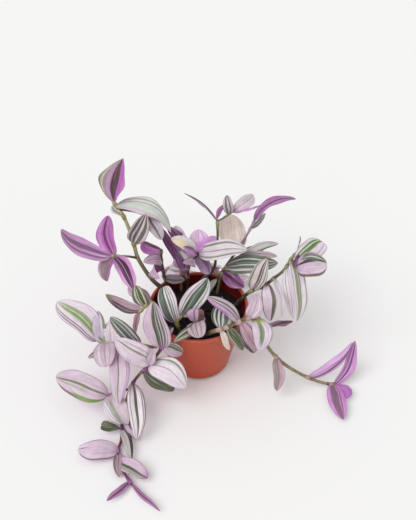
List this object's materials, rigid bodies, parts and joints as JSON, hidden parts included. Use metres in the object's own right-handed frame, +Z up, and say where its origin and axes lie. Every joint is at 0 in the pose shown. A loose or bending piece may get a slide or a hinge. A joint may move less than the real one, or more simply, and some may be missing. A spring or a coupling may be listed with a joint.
{
  "type": "potted tradescantia",
  "caption": "Trailing tradescantia with striped lilac, green and magenta leaves, growing from dark compost in a tapered round nursery pot that stands on its flat base.",
  "frame": {"origin": "centre of the pot's flat base, on the surface that it stands on", "axes": "+Z up along the pot's axis; -Y towards the side that the plant shows best, with the long trailing stem; +X to the right as seen from there"},
  "size_m": [0.3632, 0.407, 0.238],
  "materials": {
    "pot_plastic": "satin",
    "compost": "matte",
    "foliage": "satin"
  },
  "bodies": {
    "root": {"pot": "pot_plastic", "soil": "compost", "shoot_upper_left": "foliage", "shoot_centre_left": "foliage", "shoot_centre_back": "foliage", "shoot_back_tall": "foliage", "shoot_back_right": "foliage", "shoot_right_back": "foliage", "shoot_right_upper": "foliage", "shoot_right_trailer": "foliage", "shoot_front_left": "foliage", "shoot_front_bud": "foliage", "shoot_left": "foliage", "shoot_far_left": "foliage", "shoot_long_trailer": "foliage", "shoot_back_low_left": "foliage", "shoot_back_low_right": "foliage"}
  },
  "joints": []
}
